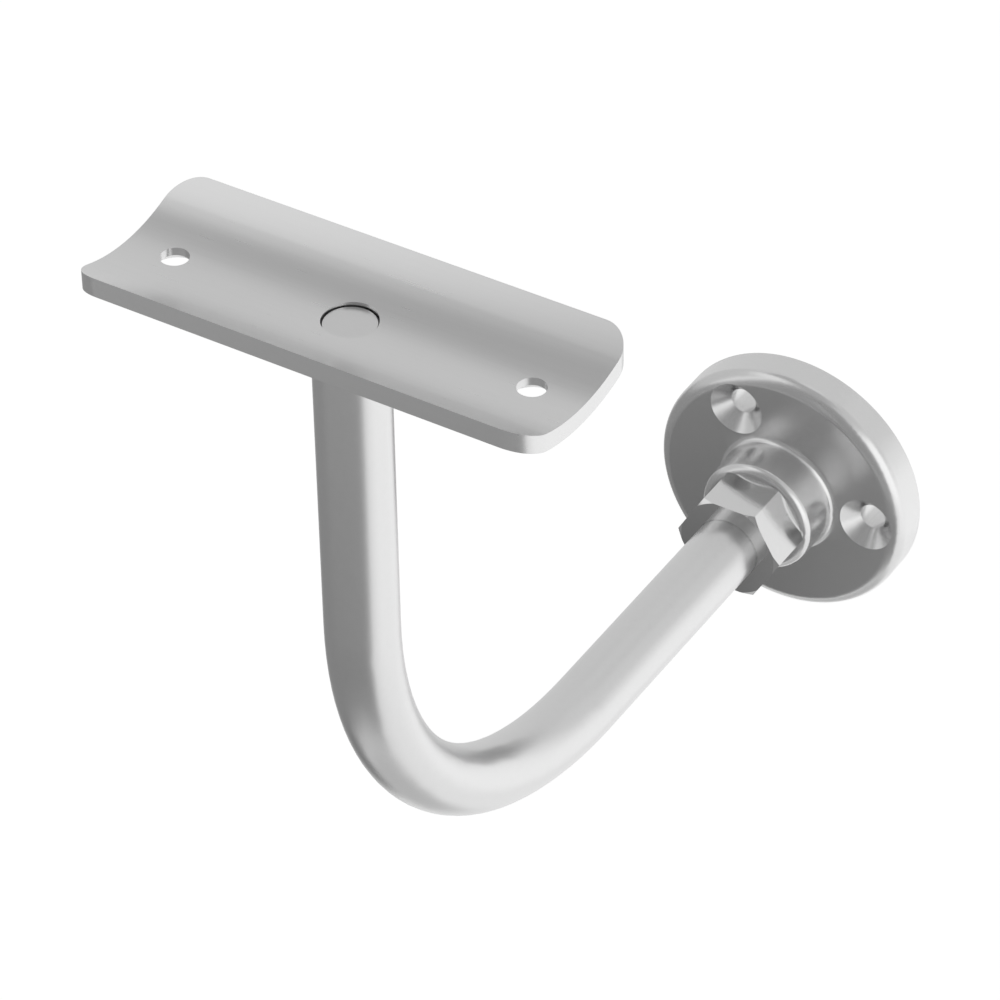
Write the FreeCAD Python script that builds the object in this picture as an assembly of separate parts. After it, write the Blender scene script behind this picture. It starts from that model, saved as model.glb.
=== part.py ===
import FreeCAD, Part
import math
import os

V = FreeCAD.Vector

# Frame: origin at the centre of the rose's wall face. +Y runs into the wall,
# +X runs along the handrail and +Z is up. All sizes are in millimetres.

# ---- bar (support arm) ----
bar_dia = 12.0            # round bar
leg_to_wall = 141.5       # upright leg axis to the wall face
bend_radius = 66.5        # centre line of the quarter bend
thread_dia = 11.85        # M12 thread, modelled at its major diameter
bar_end_setback = 1.0     # bar end behind the wall face
bar_end_chamfer = 1.0
spigot_dia = 8.3          # turned-down top end of the bar
spigot_drop = 0.45        # spigot top below the bottom of the valley

# ---- saddle plate ----
saddle_length = 80.0
saddle_sheet = 3.0        # sheet thickness
saddle_inner_radius = 30.0
saddle_chord = 30.0       # straight width across the two long upper edges
saddle_corner_radius = 5.0
valley_height = 124.4     # bottom of the valley above the stem axis
rail_screw_spacing = 62.7
rail_screw_hole_dia = 4.6
rail_screw_head_dia = 8.0     # countersink on the underside
spigot_hole_clearance = 0.25  # radial gap round the spigot

# ---- wall rose ----
rose_dia = 50.0
rose_thickness = 7.5
rose_edge_radius = 2.5
boss_dia = 22.0
boss_front = 16.4         # front of the boss from the wall face
boss_edge_radius = 1.5
boss_foot_radius = 1.2
boss_round_flats = 3      # short flats that make up each rounding of the boss
wall_screw_count = 3
wall_screw_circle_dia = 36.0
wall_screw_hole_dia = 5.0
wall_screw_head_dia = 10.5    # countersink at the front face
countersink_angle = 90.0

# ---- lock nut (M12) ----
nut_across_flats = 18.0
nut_height = 9.6
nut_chamfer_angle = 30.0
nut_chamfer_start_dia = 17.1  # flat ring left on each end

# ---- thread fit shared by the rose and the nut ----
thread_clearance = 0.1    # radial gap between thread and tapped bore

tapped_dia = thread_dia + 2 * thread_clearance
saddle_outer_radius = saddle_inner_radius + saddle_sheet
saddle_axis_height = valley_height + saddle_inner_radius
nut_front = boss_front + nut_height


def revolve_profile(edges, start, direction):
    face = Part.Face(Part.Wire(edges))
    return face.revolve(start, direction, 360)


def closed_lines(points):
    """Straight edges joining the points in turn and back to the first."""
    ring = points + points[:1]
    return [Part.makeLine(a, b) for a, b in zip(ring, ring[1:])]


def rounded_profile(corners):
    """Closed outline through (radius, y, corner radius, flats) corners.

    A corner with no flats gets a tangent arc, and otherwise that many chords of it.
    """
    count = len(corners)
    ends = []
    for i in range(count):
        here = V(corners[i][0], corners[i][1], 0)
        before = V(corners[i - 1][0], corners[i - 1][1], 0)
        after = V(corners[(i + 1) % count][0], corners[(i + 1) % count][1], 0)
        back = (before - here).normalize()
        ahead = (after - here).normalize()
        half_turn = back.getAngle(ahead) / 2
        reach = corners[i][2] / math.tan(half_turn)
        bisector = (back + ahead).normalize()
        centre = here + bisector * (corners[i][2] / math.sin(half_turn))
        middle = centre - bisector * corners[i][2]
        ends.append((here + back * reach, middle, here + ahead * reach))
    edges = []
    for i in range(count):
        start, middle, end = ends[i]
        flats = corners[i][3]
        if corners[i][2] > 0:
            arc = Part.Arc(start, middle, end)
            if flats > 0:
                points = arc.discretize(flats + 1)
                edges.extend(Part.makeLine(a, b) for a, b in zip(points, points[1:]))
            else:
                edges.append(arc.toShape())
        edges.append(Part.makeLine(end, ends[(i + 1) % count][0]))
    return edges


def make_rose():
    """Turned flange with its boss, tapped through, three countersunk holes."""
    r = rose_dia / 2
    b = boss_dia / 2
    rose = revolve_profile(rounded_profile([
        (0, 0, 0, 0),
        (r, 0, 0, 0),
        (r, -rose_thickness, rose_edge_radius, 0),
        (b, -rose_thickness, boss_foot_radius, boss_round_flats),
        (b, -boss_front, boss_edge_radius, boss_round_flats),
        (0, -boss_front, 0, 0),
    ]), V(0, 0, 0), V(0, 1, 0))

    bore_radius = tapped_dia / 2
    bore = Part.makeCylinder(bore_radius, boss_front + 2, V(0, 1, 0), V(0, -1, 0))
    rose = rose.cut(bore)

    head_radius = wall_screw_head_dia / 2
    hole_radius = wall_screw_hole_dia / 2
    slope = math.tan(math.radians(countersink_angle / 2))
    sink_depth = (head_radius - hole_radius) / slope
    cutter_profile = closed_lines([
        V(0, 1, 0),
        V(hole_radius, 1, 0),
        V(hole_radius, -rose_thickness + sink_depth, 0),
        V(head_radius, -rose_thickness, 0),
        V(head_radius, -rose_thickness - 0.01, 0),
        V(0, -rose_thickness - 0.01, 0),
    ])
    cutter = revolve_profile(cutter_profile, V(0, 0, 0), V(0, 1, 0))
    for i in range(wall_screw_count):
        turn = math.radians(360.0 / wall_screw_count * i)
        reach = wall_screw_circle_dia / 2
        hole = cutter.copy()
        hole.translate(V(reach * math.cos(turn), 0, reach * math.sin(turn)))
        rose = rose.cut(hole)
    return rose


def make_lock_nut():
    """Hexagon nut, a corner on the +X side, both ends chamfered."""
    corner = nut_across_flats / 2 / math.cos(math.pi / 6)
    points = []
    for i in range(6):
        turn = math.radians(60 * i)
        points.append(V(corner * math.cos(turn), -boss_front, corner * math.sin(turn)))
    hexagon = Part.Face(Part.makePolygon(points + points[:1]))
    prism = hexagon.extrude(V(0, -nut_height, 0))

    flat = nut_chamfer_start_dia / 2
    widest = corner + 1.0
    drop = (widest - flat) * math.tan(math.radians(nut_chamfer_angle))
    envelope = revolve_profile(closed_lines([
        V(0, -boss_front, 0),
        V(flat, -boss_front, 0),
        V(widest, -boss_front - drop, 0),
        V(widest, -nut_front + drop, 0),
        V(flat, -nut_front, 0),
        V(0, -nut_front, 0),
    ]), V(0, 0, 0), V(0, 1, 0))
    nut = prism.common(envelope)

    bore = Part.makeCylinder(
        tapped_dia / 2, nut_height + 2, V(0, 1 - boss_front, 0), V(0, -1, 0))
    return nut.cut(bore)


def make_arm():
    """Bent round bar: threaded stem, quarter bend, leg, coped shoulder, spigot."""
    radius = bar_dia / 2
    stem_face = Part.Face(Part.Wire(Part.makeCircle(radius, V(0, -nut_front, 0), V(0, 1, 0))))
    stem = stem_face.extrude(V(0, nut_front - leg_to_wall + bend_radius, 0))
    bend_face = Part.Face(
        Part.Wire(Part.makeCircle(radius, V(0, bend_radius - leg_to_wall, 0), V(0, 1, 0))))
    bend_centre = V(0, bend_radius - leg_to_wall, bend_radius)
    bend = bend_face.revolve(bend_centre, V(1, 0, 0), -90)
    leg_foot = V(0, -leg_to_wall, bend_radius)
    leg = Part.makeCylinder(radius, valley_height - bend_radius, leg_foot, V(0, 0, 1))

    # the shoulder is cut to the round underside of the saddle plate
    underside = Part.makeCylinder(
        saddle_outer_radius, saddle_length,
        V(-saddle_length / 2, -leg_to_wall, saddle_axis_height), V(1, 0, 0))
    leg = leg.cut(underside)

    spigot_radius = spigot_dia / 2
    spigot_foot = valley_height - saddle_sheet - 2.0
    spigot_height = valley_height - spigot_drop - spigot_foot
    spigot = Part.makeCylinder(
        spigot_radius, spigot_height, V(0, -leg_to_wall, spigot_foot), V(0, 0, 1))

    thread_radius = thread_dia / 2
    thread = revolve_profile(closed_lines([
        V(0, -bar_end_setback, 0),
        V(thread_radius - bar_end_chamfer, -bar_end_setback, 0),
        V(thread_radius, -bar_end_setback - bar_end_chamfer, 0),
        V(thread_radius, -nut_front, 0),
        V(0, -nut_front, 0),
    ]), V(0, 0, 0), V(0, 1, 0))
    return stem.fuse([bend, leg, spigot, thread]).removeSplitter()


def make_saddle():
    """Rolled sheet with upright edges, rounded corners, spigot hole and rail screw holes."""
    reach = saddle_chord / 2

    def ring_point(radius, offset):
        z = saddle_axis_height - math.sqrt(radius ** 2 - offset ** 2)
        return V(-saddle_length / 2, offset - leg_to_wall, z)

    inner = [ring_point(saddle_inner_radius, y) for y in (-reach, 0, reach)]
    outer = [ring_point(saddle_outer_radius, y) for y in (-reach, 0, reach)]
    edge_height = inner[0].distanceToPoint(outer[0])
    section = Part.Wire([
        Part.Arc(*inner).toShape(),
        Part.makeLine(inner[2], outer[2]),
        Part.Arc(*reversed(outer)).toShape(),
        Part.makeLine(outer[0], inner[0]),
    ])
    plate = Part.Face(section).extrude(V(saddle_length, 0, 0))

    corners = []
    for edge in plate.Edges:
        is_straight = isinstance(edge.Curve, Part.Line)
        if is_straight and abs(edge.Length - edge_height) < 0.01:
            corners.append(edge)
    plate = plate.makeFillet(saddle_corner_radius, corners)

    underside = valley_height - saddle_sheet
    low = underside - 5
    tall = saddle_sheet + 10
    hole_radius = spigot_dia / 2 + spigot_hole_clearance
    plate = plate.cut(Part.makeCylinder(hole_radius, tall, V(0, -leg_to_wall, low), V(0, 0, 1)))

    head_radius = rail_screw_head_dia / 2
    drill_radius = rail_screw_hole_dia / 2
    slope = math.tan(math.radians(countersink_angle / 2))
    sink_depth = (head_radius - drill_radius) / slope
    drill = revolve_profile(closed_lines([
        V(0, 0, low),
        V(head_radius, 0, low),
        V(head_radius, 0, underside),
        V(drill_radius, 0, underside + sink_depth),
        V(drill_radius, 0, low + tall),
        V(0, 0, low + tall),
    ]), V(0, 0, 0), V(0, 0, 1))
    for side in (-1, 1):
        hole = drill.copy()
        hole.translate(V(side * rail_screw_spacing / 2, -leg_to_wall, 0))
        plate = plate.cut(hole)
    return plate


nodes = {
    "wall_rose": make_rose(),
    "lock_nut": make_lock_nut(),
    "support_arm": make_arm(),
    "saddle_plate": make_saddle(),
}

os.makedirs("parts", exist_ok=True)
for name, shape in nodes.items():
    shape.exportStep("parts/" + name + ".step")
    box = shape.BoundBox
    print(name, shape.isValid(), len(shape.Solids), round(shape.Volume, 1),
          [round(v, 2) for v in (box.XMin, box.YMin, box.ZMin, box.XMax, box.YMax, box.ZMax)])
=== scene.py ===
import math
import bmesh
import bpy
import numpy as np
from mathutils import Matrix, Vector


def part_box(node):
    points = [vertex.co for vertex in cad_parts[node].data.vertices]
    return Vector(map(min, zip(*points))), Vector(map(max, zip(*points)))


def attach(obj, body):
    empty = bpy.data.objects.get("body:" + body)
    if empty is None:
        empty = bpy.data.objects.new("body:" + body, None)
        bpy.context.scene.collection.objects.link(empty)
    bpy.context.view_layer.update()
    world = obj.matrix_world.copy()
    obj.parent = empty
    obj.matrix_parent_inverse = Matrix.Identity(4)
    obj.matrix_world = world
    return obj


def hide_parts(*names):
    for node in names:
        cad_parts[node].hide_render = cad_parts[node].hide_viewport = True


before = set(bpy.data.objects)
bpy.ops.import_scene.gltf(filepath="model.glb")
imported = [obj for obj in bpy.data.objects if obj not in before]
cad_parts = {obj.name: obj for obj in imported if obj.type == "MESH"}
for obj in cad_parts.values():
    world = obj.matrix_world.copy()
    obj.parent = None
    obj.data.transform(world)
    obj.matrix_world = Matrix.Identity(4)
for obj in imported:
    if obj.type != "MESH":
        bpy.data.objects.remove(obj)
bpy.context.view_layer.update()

# ---------------------------------------------------------------------------
# Wall rose: a flange with a boss, turned from stainless steel, tapped for the
# bar and drilled for three countersunk screws. Fine satin after polishing.
steel_tone = 0.70
tone_spread = 0.02        # unevenness of tone, as a share of the tone
grain_detail = 4.0
relief_height = 0.00002   # metres between the grain's highs and lows


def stainless(name, rough, rough_spread, bump, stretch):
    """Stainless steel with a polished or satin surface.

    A fine noise, stretched by three factors, moves the roughness up and down
    round its middle value and gives the bump and a slight unevenness of tone.
    """
    mat = bpy.data.materials.new(name)
    mat.use_nodes = True
    nodes, links = mat.node_tree.nodes, mat.node_tree.links
    shader = nodes["Principled BSDF"]
    shader.inputs["Metallic"].default_value = 1.0
    coords = nodes.new("ShaderNodeTexCoord")
    mapping = nodes.new("ShaderNodeMapping")
    mapping.inputs["Scale"].default_value = stretch
    links.new(coords.outputs["Object"], mapping.inputs["Vector"])
    grain = nodes.new("ShaderNodeTexNoise")
    grain.inputs["Scale"].default_value = 1.0
    grain.inputs["Detail"].default_value = grain_detail
    links.new(mapping.outputs["Vector"], grain.inputs["Vector"])
    for socket, middle, spread in (("Roughness", rough, rough_spread),
                                   ("Base Color", steel_tone, steel_tone * tone_spread)):
        reach = nodes.new("ShaderNodeMapRange")
        reach.inputs["To Min"].default_value = middle - spread
        reach.inputs["To Max"].default_value = middle + spread
        links.new(grain.outputs["Fac"], reach.inputs["Value"])
        links.new(reach.outputs["Result"], shader.inputs[socket])
    relief = nodes.new("ShaderNodeBump")
    relief.inputs["Strength"].default_value = bump
    relief.inputs["Distance"].default_value = relief_height
    links.new(grain.outputs["Fac"], relief.inputs["Height"])
    links.new(relief.outputs["Normal"], shader.inputs["Normal"])
    return mat


def smooth_by_angle(obj, sharp_angle):
    """Smooth normals inside each group of faces and sharp ones between groups.

    The normal at a face's corner is the mean, weighed by area, of the normals
    of those faces that meet in that point and lean less than the angle, in
    degrees, away from this face.
    """
    mesh = obj.data
    mesh.shade_smooth()
    corners, faces = len(mesh.loops), len(mesh.polygons)
    point = np.empty(corners, dtype=int)
    mesh.loops.foreach_get("vertex_index", point)
    sides = np.empty(faces, dtype=int)
    mesh.polygons.foreach_get("loop_total", sides)
    face = np.repeat(np.arange(faces), sides)
    area = np.empty(faces)
    mesh.polygons.foreach_get("area", area)
    normal = np.empty(faces * 3)
    mesh.polygons.foreach_get("normal", normal)
    normal = normal.reshape(-1, 3)

    # Every corner is paired with each corner that shares its point.
    by_point = np.argsort(point, kind="stable")
    meeting = np.bincount(point, minlength=len(mesh.vertices))
    start = np.cumsum(meeting) - meeting
    partners = meeting[point]
    this = np.repeat(np.arange(corners), partners)
    turn = np.arange(partners.sum()) - np.repeat(np.cumsum(partners) - partners, partners)
    other = by_point[start[point[this]] + turn]

    lean = np.sum(normal[face[this]] * normal[face[other]], axis=1)
    weight = area[face[other]] * (lean > math.cos(math.radians(sharp_angle)))
    total = np.zeros((corners, 3))
    np.add.at(total, this, normal[face[other]] * weight[:, None])
    size = np.linalg.norm(total, axis=1, keepdims=True)
    total = np.where(size > 0, total / np.where(size > 0, size, 1.0), normal[face])
    mesh.normals_split_custom_set(total.tolist())


def add_piece(mesh, node, sharp_angle):
    """Puts a mesh in the scene in place of a CAD node, hung under the root body's empty."""
    obj = bpy.data.objects.new(mesh.name, mesh)
    bpy.context.collection.objects.link(obj)
    smooth_by_angle(obj, sharp_angle)
    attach(obj, "root")
    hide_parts(node)


def joined_copy(node, name, mat):
    """The CAD node's own surface as a copy whose loose triangles are merged.

    Reflections then run smoothly over it.
    """
    merge_distance = 0.000001
    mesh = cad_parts[node].data.copy()
    mesh.name = name
    build = bmesh.new()
    build.from_mesh(mesh)
    bmesh.ops.remove_doubles(build, verts=build.verts, dist=merge_distance)
    build.to_mesh(mesh)
    build.free()
    mesh.materials.clear()
    mesh.materials.append(mat)
    return mesh


rose_steel = stainless("rose_steel", rough=0.27, rough_spread=0.006, bump=0.004,
                       stretch=(900.0, 900.0, 900.0))
rose_sharp_angle = 33.0   # the roundings' short flats lean less than this
add_piece(joined_copy("wall_rose", "turned_rose", rose_steel),
          "wall_rose", rose_sharp_angle)

# ---------------------------------------------------------------------------
# Lock nut: a hexagon nut of bright stainless steel, run down the bar's thread
# against the boss. Both ends are lightly chamfered.
nut_steel = stainless("nut_steel", rough=0.09, rough_spread=0.02, bump=0.01,
                      stretch=(900.0, 900.0, 900.0))
nut_low, nut_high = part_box("lock_nut")
nut_rear, nut_front = nut_high[1], nut_low[1]
nut_flat = (nut_high[2] - nut_low[2]) / 2     # half the height of the nut's box
nut_bore = 0.006025
nut_ring = nut_flat * 1.05                    # radius at which the chamfer starts
nut_slope = math.tan(math.radians(30.0))
nut_margin = 0.00002                          # least width of the chamfer's row of faces
nut_step = 2.5                                # degrees between the points of a ring
nut_sharp_angle = 15.0


def closed_rings(name, radii, places, around):
    """Rings round the Y axis, joined in turn and back to the first.

    A point lies at its ring's radius times the cosine of the angle in X and
    times the sine in Z, and at its ring's place in Y. The faces point outwards
    where the first rings are the front ones and run from the bore to the rim.
    """
    radii, places = np.array(radii), np.array(places)
    points = np.stack([radii * np.cos(around), places, radii * np.sin(around)], axis=-1)
    index = np.arange(radii.size).reshape(radii.shape)
    right_of = np.roll(index, -1, axis=1)
    quads = np.stack([index, np.roll(index, -1, axis=0), np.roll(right_of, -1, axis=0),
                      right_of], axis=-1).reshape(-1, 4)
    mesh = bpy.data.meshes.new(name)
    mesh.from_pydata(points.reshape(-1, 3).tolist(), [], quads.tolist())
    return mesh


# The hexagon's radius is its half width divided by the cosine of the angle
# away from the middle of the nearest flat. The chamfer takes off its corners.
around = np.radians(np.arange(0, 360, nut_step))
edge = nut_flat / np.cos(np.abs((around % (math.pi / 3)) - math.pi / 6))
lip = np.maximum(edge - nut_ring, 0.0) * nut_slope
ring = np.minimum(nut_ring, edge - nut_margin)
hole = np.full_like(around, nut_bore)
front, rear = np.full_like(around, nut_front), np.full_like(around, nut_rear)
nut_mesh = closed_rings("hexagon_nut", [hole, ring, edge, edge, ring, hole],
                        [front, front, nut_front + lip, nut_rear - lip, rear, rear], around)
nut_mesh.materials.append(nut_steel)
add_piece(nut_mesh, "lock_nut", nut_sharp_angle)

# ---------------------------------------------------------------------------
# Support arm: one 12 mm round bar of stainless steel, bent round a former,
# threaded at the wall end and turned down to a spigot under the saddle.
bar_steel = stainless("bar_steel", rough=0.29, rough_spread=0.02, bump=0.02,
                      stretch=(900.0, 900.0, 900.0))
bar_sharp_angle = 25.0
add_piece(joined_copy("support_arm", "bent_bar", bar_steel),
          "support_arm", bar_sharp_angle)

# ---------------------------------------------------------------------------
# Saddle plate: 3 mm stainless sheet, rolled to the rail's round and cut, with
# a satin finish along its length. It is welded on the bar.
saddle_steel = stainless("saddle_steel", rough=0.28, rough_spread=0.015, bump=0.03,
                         stretch=(60.0, 1500.0, 1500.0))
saddle_sharp_angle = 25.0
add_piece(joined_copy("saddle_plate", "rolled_saddle", saddle_steel),
          "saddle_plate", saddle_sharp_angle)

# ---------------------------------------------------------------------------
# Studio: a pale floor under a white room, with grey boards and two soft
# panels of light round the bracket. The boards only show in the metal.
studio_centre = Vector((0.0, -0.08, 0.05))
rose_foot = Vector((-0.004, 0.0, -0.020))     # lower part of the rose's face
board_points = 41                             # points along each side of a board
board_middle = board_points // 2


def faded(angles, soft):
    """0 at both ends of a row of angles, rising by a smooth step to 1 over the soft angle."""
    near = np.clip(np.minimum(angles - angles[0], angles[-1] - angles) / soft, 0, 1)
    return near * near * (3 - 2 * near)


def board_light(name, strength):
    """Light of one strength that gives way to clear where the board's cover is 0."""
    mat = bpy.data.materials.new(name)
    mat.use_nodes = True
    nodes, links = mat.node_tree.nodes, mat.node_tree.links
    nodes.clear()
    out = nodes.new("ShaderNodeOutputMaterial")
    lit = nodes.new("ShaderNodeEmission")
    lit.inputs["Strength"].default_value = strength
    clear = nodes.new("ShaderNodeBsdfTransparent")
    mix = nodes.new("ShaderNodeMixShader")
    cover = nodes.new("ShaderNodeAttribute")
    cover.attribute_name = "cover"
    links.new(cover.outputs["Fac"], mix.inputs["Fac"])
    links.new(clear.outputs["BSDF"], mix.inputs[1])
    links.new(lit.outputs["Emission"], mix.inputs[2])
    links.new(mix.outputs["Shader"], out.inputs["Surface"])
    return mat


def board(name, azimuths, elevations, distance, strength, soft, centre=studio_centre):
    """A board curved round the bracket: a patch of a sphere between two pairs of angles.

    Azimuth is counted in degrees from the front (-Y) towards +X, elevation
    from the level. A point lies at the distance from the centre, along the
    sine and cosine of its azimuth times the cosine of its elevation in X and
    -Y, and along the sine of its elevation in Z. The board thins out towards
    its borders, unless it goes all round or over a pole.
    """
    across = np.linspace(azimuths[0], azimuths[1], board_points)
    tall = np.linspace(elevations[0], elevations[1], board_points)
    turn, rise = np.meshgrid(np.radians(across), np.radians(tall))
    points = np.stack([np.sin(turn) * np.cos(rise), -np.cos(turn) * np.cos(rise),
                       np.sin(rise)], axis=-1).reshape(-1, 3)
    points = points * distance + np.array(centre)
    row = np.arange(board_points - 1)
    first = row[:, None] * board_points + row[None, :]
    faces = np.stack([first, first + board_points, first + board_points + 1,
                      first + 1], axis=-1).reshape(-1, 4)
    mesh = bpy.data.meshes.new(name)
    mesh.from_pydata(points.tolist(), [], faces.tolist())

    all_round = azimuths[1] - azimuths[0] >= 360
    across_cover = np.ones_like(across) if all_round else faded(across, soft)
    tall_cover = faded(tall, soft)
    if elevations[1] >= 90:
        tall_cover[board_middle:] = tall_cover[board_middle]
    if elevations[0] <= -90:
        tall_cover[:board_middle] = tall_cover[board_middle]
    cover = mesh.attributes.new("cover", "FLOAT", "POINT")
    cover.data.foreach_set("value", np.outer(tall_cover, across_cover).reshape(-1))
    mesh.materials.append(board_light(name, strength))

    obj = bpy.data.objects.new(name, mesh)
    bpy.context.collection.objects.link(obj)
    obj.visible_camera = False
    obj.visible_diffuse = False
    obj.visible_shadow = False


# Below and in front, dark grey.
board("under_board", (-180, 180), (-90, -66), distance=0.80, strength=0.60, soft=10)
board("low_front_board", (-130, 64), (-72, -18), distance=0.78, strength=0.29, soft=16)
board("front_board", (-50, 58), (-34, 75), distance=0.76, strength=0.36, soft=16)
board("near_board", (-50, -14), (-57, -21), distance=0.18, strength=0.16, soft=12,
      centre=rose_foot)
# On the left, with a soft lamp high up.
board("left_board", (-120, -40), (-34, -2), distance=0.77, strength=0.33, soft=8)
board("left_side_board", (-130, -58), (-10, 46), distance=0.79, strength=0.68, soft=10)
board("left_lamp", (-109, -40), (40, 76), distance=0.80, strength=1.05, soft=14)
# On the right, with a soft lamp at the bracket's height and one below it.
board("right_lamp", (42, 106), (-24, 42), distance=0.79, strength=1.32, soft=12)
board("low_right_lamp", (72, 176), (-48, 0), distance=0.81, strength=1.16, soft=10)
board("right_board", (42, 170), (32, 70), distance=0.80, strength=0.70, soft=10)
board("back_right_board", (100, 170), (4, 40), distance=0.82, strength=0.80, soft=10)
# Behind and above.
board("back_high_board", (203, 262), (44, 78), distance=0.815, strength=0.44, soft=10)
board("back_board", (160, 250), (-44, 60), distance=0.82, strength=0.76, soft=9)
board("top_board", (-180, 180), (62, 90), distance=0.83, strength=0.48, soft=8)


def seen_white(tree):
    """1 for rays from the camera, from metal and through glass, and 0 for the rest."""
    nodes, links = tree.nodes, tree.links
    paths = nodes.new("ShaderNodeLightPath")
    seen = paths.outputs["Is Camera Ray"]
    for ray in ("Is Glossy Ray", "Is Transmission Ray"):
        larger = nodes.new("ShaderNodeMath")
        larger.operation = "MAXIMUM"
        links.new(seen, larger.inputs[0])
        links.new(paths.outputs[ray], larger.inputs[1])
        seen = larger.outputs[0]
    return seen


room_light = 0.6       # strength of the room's light on matt surfaces
floor_tone = 0.8
floor_white = 1.02     # strength at which the lit floor is seen
floor_height = -0.9
floor_size = 40.0
bpy.ops.mesh.primitive_plane_add(size=floor_size, location=(0, 0, floor_height))
floor = bpy.context.object
floor.name = "studio_floor"
floor_mat = bpy.data.materials.new("studio_floor")
floor_mat.use_nodes = True
nodes, links = floor_mat.node_tree.nodes, floor_mat.node_tree.links
matt = nodes["Principled BSDF"]
matt.inputs["Base Color"].default_value = (floor_tone, floor_tone, floor_tone, 1.0)
matt.inputs["Roughness"].default_value = 1.0
matt.inputs["Specular IOR Level"].default_value = 0.0
lift = nodes.new("ShaderNodeEmission")
scale = nodes.new("ShaderNodeMath")
scale.operation = "MULTIPLY"
scale.inputs[1].default_value = floor_white - room_light * floor_tone
links.new(seen_white(floor_mat.node_tree), scale.inputs[0])
links.new(scale.outputs[0], lift.inputs["Strength"])
both = nodes.new("ShaderNodeAddShader")
links.new(matt.outputs["BSDF"], both.inputs[0])
links.new(lift.outputs["Emission"], both.inputs[1])
links.new(both.outputs["Shader"], nodes["Material Output"].inputs["Surface"])
floor.data.materials.append(floor_mat)

world = bpy.data.worlds.new("studio_room")
bpy.context.scene.world = world
world.use_nodes = True
nodes, links = world.node_tree.nodes, world.node_tree.links
room = nodes["Background"]
room.inputs["Color"].default_value = (1.0, 1.0, 1.0, 1.0)
step = nodes.new("ShaderNodeMapRange")
step.inputs["To Min"].default_value = room_light
step.inputs["To Max"].default_value = 1.0
links.new(seen_white(world.node_tree), step.inputs["Value"])
links.new(step.outputs["Result"], room.inputs["Strength"])

# ---------------------------------------------------------------------------
# Camera: to the right of the bracket and above it, with a long lens. Azimuth
# is counted from the front (-Y) towards +X.
azimuth = math.radians(32.434)
elevation = math.radians(38.757)
roll = math.radians(-0.992)
distance = 0.8082
aim = Vector((-0.0093, -0.0866, 0.0490))
back = Vector((math.sin(azimuth) * math.cos(elevation),
               -math.cos(azimuth) * math.cos(elevation),
               math.sin(elevation)))
right = Vector((math.cos(azimuth), math.sin(azimuth), 0.0))
up = back.cross(right)
cam_x = right * math.cos(roll) + up * math.sin(roll)
cam_y = up * math.cos(roll) - right * math.sin(roll)
camera_data = bpy.data.cameras.new("camera")
camera_data.sensor_width = 36.0
camera_data.lens = 176.62
camera_data.clip_start = 0.01
camera_data.clip_end = 50.0
camera = bpy.data.objects.new("camera", camera_data)
bpy.context.collection.objects.link(camera)
turn = Matrix((cam_x, cam_y, back)).transposed().to_4x4()
camera.matrix_world = Matrix.Translation(aim + back * distance) @ turn
bpy.context.scene.camera = camera

bpy.context.scene.view_settings.view_transform = "Standard"
